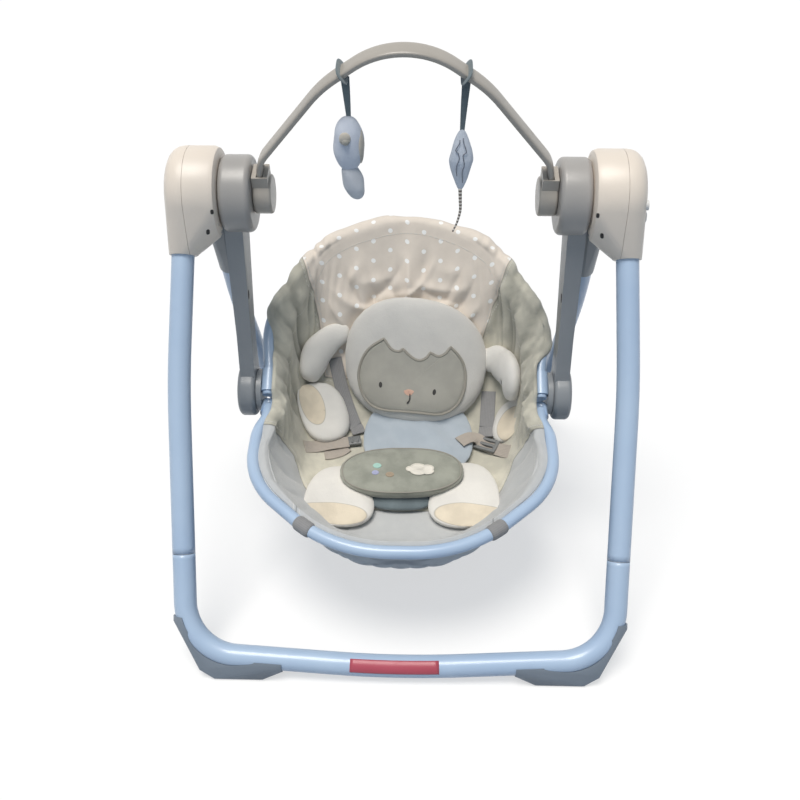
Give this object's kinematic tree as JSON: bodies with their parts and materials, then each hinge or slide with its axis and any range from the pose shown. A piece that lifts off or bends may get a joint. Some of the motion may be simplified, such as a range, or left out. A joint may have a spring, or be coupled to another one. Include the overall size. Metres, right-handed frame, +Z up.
{
  "type": "portable infant swing",
  "caption": "Portable infant swing: folding white tube stand with side hubs, hanging arms, reclining padded sling seat with a lamb head support, and a toy bar.",
  "frame": {"origin": "on the floor, midway between the four feet, below the axis that joins the two hubs", "axes": "+Z up, front of the seat faces -Y, +X to the right as seen from the front, along the hub axis"},
  "size_m": [0.5816, 0.6258, 0.7067],
  "materials": {
    "tube_paint": "gloss white powder coat",
    "steel": "plain",
    "foot_plastic": "moulded, fine texture",
    "grip_rubber": "matt",
    "hub_plastic": "moulded, satin",
    "button_plastic": "moulded, satin",
    "board": "laminate",
    "coil_wire": "enamelled copper wire",
    "arm_plastic": "moulded, satin",
    "webbing": "woven webbing",
    "toy_fabric": "short plush",
    "sling_fabric": "woven, quilted",
    "velour": "velour and dotted print",
    "plush": "short plush",
    "buckle_plastic": "moulded"
  },
  "bodies": {
    "front_frame": {"front_leg_left": "tube_paint", "front_leg_right": "tube_paint", "front_base_tube": "tube_paint", "front_leg_plugs": "steel", "front_foot_left": "foot_plastic", "front_foot_right": "foot_plastic", "front_grips": "grip_rubber", "hub_outer_shell_left": "hub_plastic", "hub_inner_shell_left": "hub_plastic", "hub_outer_shell_right": "hub_plastic", "hub_inner_shell_right": "hub_plastic", "hub_axle_left": "steel", "hub_axle_right": "steel", "hub_screws": "steel", "battery_door": "hub_plastic", "battery_cells": "steel", "circuit_board": "board", "drive_coil": "coil_wire"},
    "rear_frame": {"rear_leg_left": "tube_paint", "rear_leg_right": "tube_paint", "rear_base_tube": "tube_paint", "rear_leg_plugs": "steel", "rear_foot_left": "foot_plastic", "rear_foot_right": "foot_plastic", "rear_grips": "grip_rubber", "rear_knuckle_left": "hub_plastic", "rear_knuckle_right": "hub_plastic"},
    "swing_arms": {"swing_arm_left": "arm_plastic", "swing_arm_right": "arm_plastic", "drive_magnet": "steel"},
    "seat": {"seat_bracket_left": "hub_plastic", "seat_bracket_right": "hub_plastic", "seat_pins": "steel", "seat_front_loop": "tube_paint", "seat_back_loop": "tube_paint", "seat_sling": "sling_fabric", "seat_pad": "velour", "loop_webbing": "webbing", "shoulder_straps": "webbing", "waist_straps": "webbing", "harness_buckles": "buckle_plastic", "crotch_pad": "velour", "lamb_head": "plush", "lamb_body": "plush", "lamb_ear_left": "plush", "lamb_ear_right": "plush", "lamb_arms": "plush", "lamb_legs": "plush"},
    "toy_bar": {"toy_bar": "hub_plastic", "bar_cap_left": "hub_plastic", "bar_cap_right": "hub_plastic", "toy_loops": "webbing"},
    "toy_left": {"toy_left": "toy_fabric"},
    "toy_right": {"toy_right": "toy_fabric"},
    "power_button": {"power_button": "button_plastic"},
    "music_button": {"music_button": "button_plastic"},
    "fold_button_left": {"fold_button_left": "button_plastic"},
    "fold_button_right": {"fold_button_right": "button_plastic"}
  },
  "joints": [
    {"name": "leg_fold", "type": "hinge", "parent": "front_frame", "child": "rear_frame", "pos_m": [0, 0, 0.518], "axis": [-1, 0, 0], "range_deg": [0, 48]},
    {"name": "swing", "type": "hinge", "parent": "front_frame", "child": "swing_arms", "pos_m": [0, 0, 0.518], "axis": [1, 0, 0], "range_deg": [-15, 15]},
    {"name": "seat_recline", "type": "hinge", "parent": "swing_arms", "child": "seat", "pos_m": [0, 0, 0.235], "axis": [-1, 0, 0], "range_deg": [0, 15]},
    {"name": "toy_bar_pivot", "type": "hinge", "parent": "swing_arms", "child": "toy_bar", "pos_m": [0, 0, 0.518], "axis": [1, 0, 0], "range_deg": [-75, 25]},
    {"name": "toy_left_swing", "type": "hinge", "parent": "toy_bar", "child": "toy_left", "pos_m": [-0.067, -0.05397, 0.66629], "axis": [1, 0, 0], "range_deg": [-25, 25]},
    {"name": "toy_right_swing", "type": "hinge", "parent": "toy_bar", "child": "toy_right", "pos_m": [0.067, -0.05397, 0.66629], "axis": [1, 0, 0], "range_deg": [-25, 25]},
    {"name": "power_button_press", "type": "slide", "parent": "front_frame", "child": "power_button", "axis": [-1, 0, 0], "range_m": [0, 0.002], "stiffness_N_per_m": 600},
    {"name": "music_button_press", "type": "slide", "parent": "front_frame", "child": "music_button", "axis": [-1, 0, 0], "range_m": [0, 0.002], "stiffness_N_per_m": 600},
    {"name": "fold_button_right_press", "type": "slide", "parent": "front_frame", "child": "fold_button_right", "axis": [-1, 0, 0], "range_m": [0, 0.004], "stiffness_N_per_m": 900},
    {"name": "fold_button_left_press", "type": "slide", "parent": "front_frame", "child": "fold_button_left", "axis": [1, 0, 0], "range_m": [0, 0.004], "stiffness_N_per_m": 900}
  ]
}
